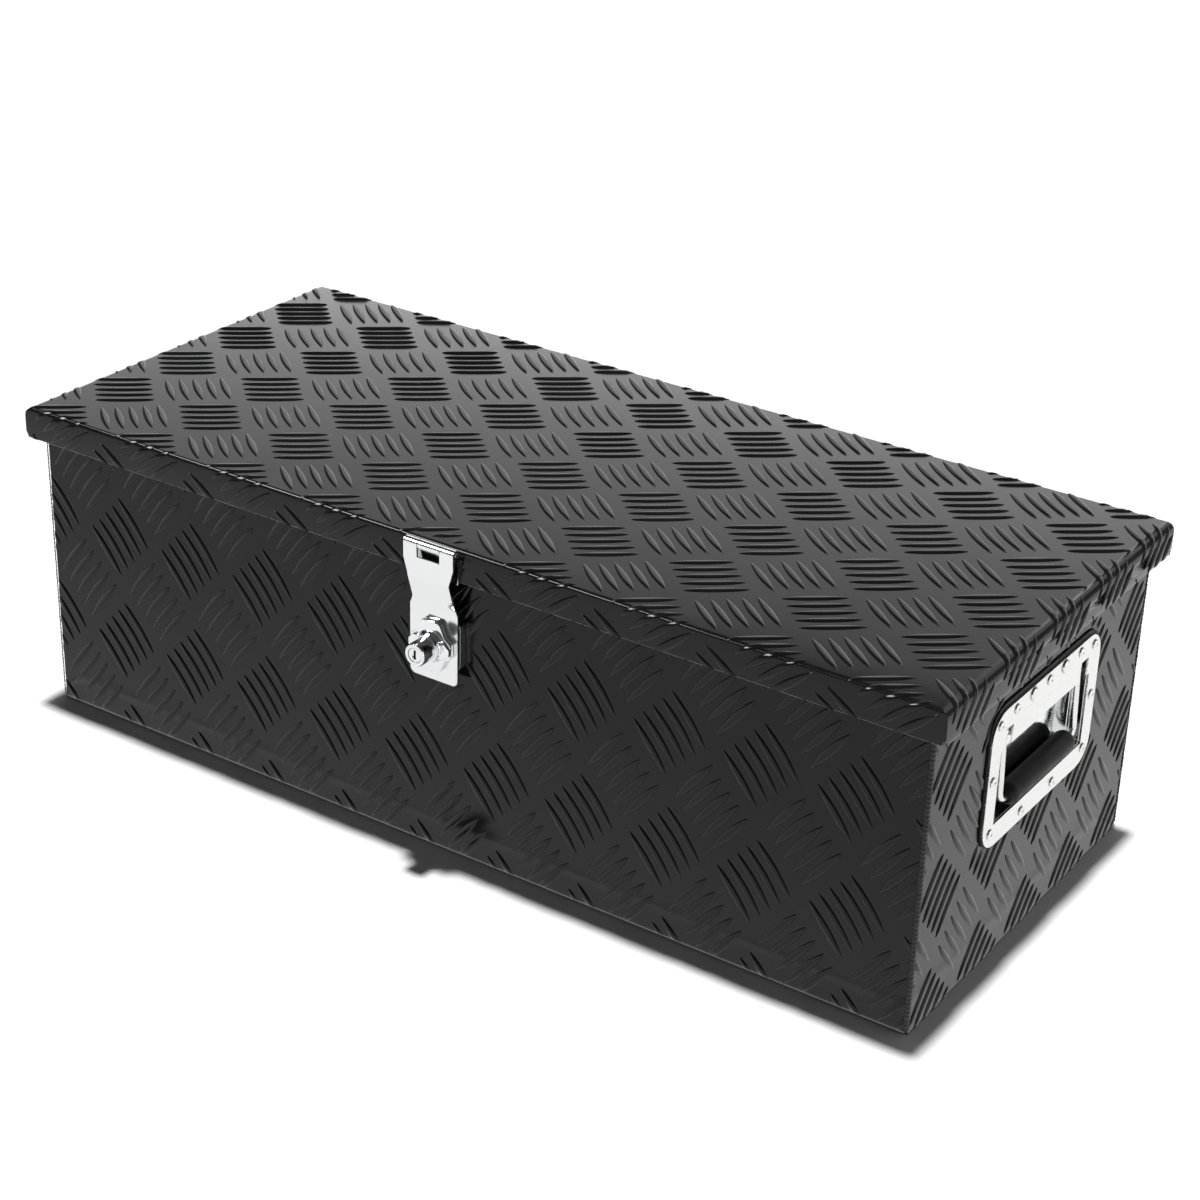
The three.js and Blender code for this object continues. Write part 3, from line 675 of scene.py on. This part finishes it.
def lid_sheet():
    """The lid's folded sheet, with the coating's rounded build-up along the flanges' cut edges, painted
    lighter there as a highlight.
    """
    node = "lid_shell"
    rim = low(node).z * MM
    top = rim + RIM_REACH * MM
    bm = merged(node)
    cut = [edge for edge in bm.edges if edge.calc_face_angle(0) > math.radians(60)]
    edges = [edge for edge in cut if max(vert.co.z for vert in edge.verts) < top]
    # The bevel's faces take material 1, the lighter grey painted as a highlight on the cut edges.
    bmesh.ops.bevel(
        bm, geom=edges, offset=COAT_BUILD_UP * MM, segments=3, profile=0.5, affect="EDGES",
        clamp_overlap=False, material=1,
    )
    piece = new_piece(f"{node}_look", bm, COAT, body_name(node), 35)
    # The bevelled cut edges take a lighter grey: a painted highlight where they catch the light.
    piece.data.materials.append(HIGHLIGHT_PAINT)
    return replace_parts(piece, node)


def sheets():
    """The folded sheets themselves, with their cut edges eased."""
    for node, width in (("body_wrap", 0.35), ("end_panel_right", 0.3), ("end_panel_left", 0.3)):
        refined(node, COAT, width)
    lid_sheet()
    lid_tread()
    wrap_tread()
    end_tread("right")
    end_tread("left")


# ---- weld beads -------------------------------------------------------------------------------
RIPPLE = 3.3            # from one coin of the bead to the next
COIN_RISE = 0.6
COIN_CURVE = 1.1        # how far a coin's edge bows along the seam
BEAD_SUNK = 0.55
BEAD_ACROSS = 10        # mesh faces across the bead
BEAD_STEP = 0.55        # height of one mesh row


def weld_bead(node):
    """A stack-of-coins weld bead up one corner, from the end sheet round to the folded sheet."""
    lo, hi = low(node), high(node)
    sx = math.copysign(1, middle(node).x)
    sy = math.copysign(1, middle(node).y)
    inner = Vector((lo.x if sx > 0 else hi.x, lo.y if sy > 0 else hi.y, 0))
    reach = Vector((sx, sy, 0))
    radius = hi.x - lo.x
    across = BEAD_ACROSS
    rows = int((hi.z - lo.z) / BEAD_STEP)
    points = []
    for i in range(rows + 1):
        z = lo.z + (hi.z - lo.z) * i / rows
        for k in range(across + 1):
            t = math.pi / 2 * k / across
            phase = ((z + COIN_CURVE * math.sin(2 * t)) / RIPPLE) % 1.0
            ripple = COIN_RISE * math.sin(math.pi * phase) ** 0.6
            wobble = 0.06 * math.sin(z * 0.37 + t) + 0.04 * math.sin(z * 0.91)
            r = radius - BEAD_SUNK + ripple + wobble
            points.append(inner + Vector((reach.x * r * math.cos(t), reach.y * r * math.sin(t), z)))
    faces = []
    for i in range(rows):
        for k in range(across):
            a = i * (across + 1) + k
            faces.append([a, a + 1, a + across + 2, a + across + 1])
    bm = mesh_of(points, faces)
    bmesh.ops.recalc_face_normals(bm, faces=bm.faces)
    face = bm.faces[:][len(bm.faces) // 2]
    if face.normal.dot(reach) < 0:
        bmesh.ops.reverse_faces(bm, faces=bm.faces)
    bead = new_piece(f"{node}_bead", bm, WELD, "box", 60)
    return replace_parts(bead, node)


# ---- handles ----------------------------------------------------------------------------------
BAIL_PIVOT = 367.9      # how far out from the middle of the box the bail turns
ROD_RADIUS = 2.75
STUB = 40.0             # where the rod ends, inside the pivot tube
CORNER_BEND = 7.0
STUB_BEND = 3.6
RIVET_LENGTH = 9.5
STEM_RADIUS = 1.05      # the dimple that a small rivet's pulled stem leaves


def handle_rod(side):
    """The bail: a round rod with smooth bends, its stubs in the pivot tube."""
    node = f"handle_bail_{side}"
    sign = 1 if side == "right" else -1
    tube_at = middle(f"handle_pivot_tube_{side}")
    grip_at = middle(f"handle_grip_{side}")
    pivot = Vector((sign * BAIL_PIVOT, 0, tube_at.z))
    drop = math.hypot(grip_at.x - pivot.x, pivot.z - grip_at.z)
    arm = high(node).y - ROD_RADIUS
    right = [(0, STUB, 0)]
    right += arc(arm - STUB_BEND, -STUB_BEND, STUB_BEND, 90, 0, 8)
    right += arc(arm - CORNER_BEND, -drop + CORNER_BEND, CORNER_BEND, 0, -90, 12)
    left = [(x, -y, z) for x, y, z in reversed(right)]
    bm = tube(right + left, ROD_RADIUS)
    tilt = math.atan2(grip_at.x - pivot.x, pivot.z - grip_at.z)
    bmesh.ops.rotate(bm, verts=bm.verts, cent=(0, 0, 0), matrix=Matrix.Rotation(-tilt, 3, "Y"))
    bmesh.ops.translate(bm, verts=bm.verts, vec=pivot * MM)
    piece = new_piece(f"{node}_look", bm, STAINLESS, body_name(node), 50)
    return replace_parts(piece, node)


def handle_grip(side):
    """The rubber sleeve: a straight barrel with rounded shoulders and a short collar at each end."""
    node = f"handle_grip_{side}"
    lo, hi = low(node), high(node)
    r = (hi.z - lo.z) / 2
    half = (hi.y - lo.y) / 2
    end = [
        (3.05, -half), (5.0, -half), (5.6, -half + 0.5), (r - 1.9, -half + 1.4),
        (r - 0.6, -half + 2.9), (r - 0.1, -half + 4.6), (r, -half + 6.5),
    ]
    profile = [(2.8, -half + 0.3)] + end + [(q, -h) for q, h in reversed(end)] + [(2.8, half - 0.3)]
    bm = lathe(profile, middle(node), (0, 1, 0), 48)
    piece = new_piece(f"{node}_look", bm, GRIP, body_name(node), 55)
    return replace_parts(piece, node)


def rivet_head(node, dimple):
    """A domed head and a plain shank, in the CAD rivet's place."""
    lo, hi = low(node), high(node)
    sign = 1 if middle(node).x > 0 else -1
    outer = hi.x if sign > 0 else lo.x
    radius = (hi.z - lo.z) / 2
    head = 2.2 if radius > 4 else 1.6
    at = Vector((outer - sign * head, middle(node).y, middle(node).z))
    foot = head - RIVET_LENGTH
    shank = [(0, foot), (radius * 0.6, foot), (radius * 0.6, 0)]
    bm = lathe(shank + dome(radius, head, 9, dimple), at, (sign, 0, 0), 32)
    piece = new_piece(f"{node}_look", bm, STAINLESS, "box", 50)
    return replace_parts(piece, node)


def handles():
    """Everything in and round the two handle recesses."""
    for side in ("right", "left"):
        refined(f"handle_plate_{side}", STAINLESS, 0.35, 3)
        refined(f"handle_gasket_{side}", SEAL, 0.3)
        refined(f"handle_dish_{side}", CHROME, 0.5, 3)
        refined(f"handle_pivot_tube_{side}", STAINLESS, 0.8, 3)
        handle_rod(side)
        handle_grip(side)
    for node in frame["nodes"]:
        if node.startswith("large_rivet"):
            rivet_head(node, 0.0)
        elif node.startswith("rivet"):
            rivet_head(node, STEM_RADIUS)


# ---- hasp and lock ----------------------------------------------------------------------------
def hasp_and_lock():
    """Chromed hasp, keeper and lock."""
    for node in ("hasp_arm", "hasp_leaf", "hasp_pin"):
        refined(node, CHROME)
    refined("keeper_housing", CHROME, 0.35)
    refined("lock_knob", CHROME, 0.3, 2, 50)
    refined("key_plug", CHROME, 0.15, 2, 28)
    refined("lock_cam", ZINC, 0.3)


def inner_hardware():
    """Hinge, lid stay and the rim's seal."""
    for node in ("hinge_body_leaf", "hinge_lid_leaf", "hinge_pin"):
        refined(node, HINGE_COAT, 0.2, 2, 40)
    for node in ("stay_arm", "stay_bracket", "stay_stud"):
        refined(node, ZINC, 0.35, 2, 40)
    refined("rim_seal", SEAL, 1.6, 4)


# ---- stage ------------------------------------------------------------------------------------
# Sizes and places here are in metres.
FLOOR_SIZE = 40
FLOOR_GREY = 0.46
LAMP_POWER = 7.0
LAMP_LEAN = Vector((0.018, -0.042, -1))
SUNLIT = FLOOR_GREY * LAMP_POWER / math.pi      # how bright the lamp alone makes the floor
CAMERA_AT = (0.9463, -1.3995, 0.9861)
CAMERA_AZIMUTH = 33.497       # degrees round from straight in front, towards the right end
CAMERA_ELEVATION = 26.752
CAMERA_ROLL = 1.8
CAMERA_LENS = 77.717


def floor():
    """A plain pale floor, wide enough to fill the view."""
    bm = bmesh.new()
    bmesh.ops.create_grid(bm, x_segments=1, y_segments=1, size=FLOOR_SIZE)
    mesh = bpy.data.meshes.new("floor")
    bm.to_mesh(mesh)
    bm.free()
    paint = Shader("pale_floor", (FLOOR_GREY, FLOOR_GREY, FLOOR_GREY), 0.8)
    paint.set("Specular IOR Level", 0.0)
    mesh.materials.append(paint.material)
    piece = bpy.data.objects.new("floor", mesh)
    bpy.context.scene.collection.objects.link(piece)


def softbox(name, at, aim, width, height, radiance):
    """A flat panel of even brightness, turned towards the point aim."""
    lamp = bpy.data.lights.new(name, "AREA")
    lamp.shape = "RECTANGLE"
    lamp.size = width
    lamp.size_y = height
    lamp.energy = radiance * math.pi * width * height
    piece = bpy.data.objects.new(name, lamp)
    piece.location = at
    piece.rotation_mode = "QUATERNION"
    piece.rotation_quaternion = (Vector(aim) - Vector(at)).to_track_quat("-Z", "Y")
    bpy.context.scene.collection.objects.link(piece)
    return piece


def floor_glow():
    """A panel in the lid's shadow that only reflections see, so the foot of the sheets stays bright."""
    lid = high("lid_shell") - low("lid_shell")
    at = middle("lid_shell") + LAMP_LEAN * high("lid_shell").z
    at = Vector((at.x, at.y, 1)) * MM
    panel = softbox("floor_glow", at, at + Vector((0, 0, 1)), lid.x * MM, lid.y * MM, SUNLIT)
    panel.visible_camera = False
    panel.visible_diffuse = False


def top_light():
    """A lamp almost overhead, leaning a little from the rear left, that whitens the floor."""
    lamp = bpy.data.lights.new("top_light", "SUN")
    lamp.energy = LAMP_POWER
    lamp.angle = math.radians(3)
    piece = bpy.data.objects.new("top_light", lamp)
    piece.rotation_mode = "QUATERNION"
    piece.rotation_quaternion = LAMP_LEAN.to_track_quat("-Z", "Y")
    piece.visible_glossy = False
    bpy.context.scene.collection.objects.link(piece)


def room():
    """A room that is pale at the horizon and dark overhead."""
    world = bpy.data.worlds.new("room")
    world.use_nodes = True
    tree = world.node_tree
    direction = tree.nodes.new("ShaderNodeTexCoord").outputs["Generated"]
    parts = tree.nodes.new("ShaderNodeSeparateXYZ")
    ramp = tree.nodes.new("ShaderNodeValToRGB")
    stops = [(0.0, 0.36), (0.25, 0.15), (0.6, 0.07)]
    ramp.color_ramp.elements.new(0.5)
    for element, (where, grey) in zip(ramp.color_ramp.elements, stops):
        element.position = where
        element.color = (grey, grey, grey, 1)
    tree.links.new(direction, parts.inputs["Vector"])
    tree.links.new(parts.outputs["Z"], ramp.inputs["Fac"])
    tree.links.new(ramp.outputs["Color"], tree.nodes["Background"].inputs["Color"])
    bpy.context.scene.world = world


def studio():
    """Soft panels behind the box and to its right, a key from the left, and a lamp above."""
    room()
    softbox("back_panel", (-1.2, 3.2, 1.6), (-0.6, 0, 0.9), 6.0, 3.2, 1.25)
    softbox("right_panel", (3.4, 0.8, 1.2), (0, 0, 0.3), 4.0, 2.2, 1.2)
    front_key = softbox("front_key", (-1.75, -1.46, 2.3), (0, -0.17, 0.24), 2.0, 0.75, 26.0)
    front_key.visible_diffuse = False
    floor_glow()
    top_light()
    bpy.context.scene.view_settings.view_transform = "Standard"


def camera():
    """Three quarters from the front right, looking down on the lid."""
    lens = bpy.data.cameras.new("camera")
    lens.sensor_width = 36.0
    lens.lens = CAMERA_LENS
    piece = bpy.data.objects.new("camera", lens)
    azimuth = Matrix.Rotation(math.radians(CAMERA_AZIMUTH), 4, "Z")
    elevation = Matrix.Rotation(math.radians(90 - CAMERA_ELEVATION), 4, "X")
    roll = Matrix.Rotation(math.radians(CAMERA_ROLL), 4, "Z")
    piece.matrix_world = Matrix.Translation(CAMERA_AT) @ azimuth @ elevation @ roll
    bpy.context.scene.collection.objects.link(piece)
    bpy.context.scene.camera = piece


camera()
studio()
floor()
sheets()
for corner in ("front_right", "front_left", "rear_right", "rear_left"):
    weld_bead(f"weld_{corner}")
handles()
hasp_and_lock()
inner_hardware()
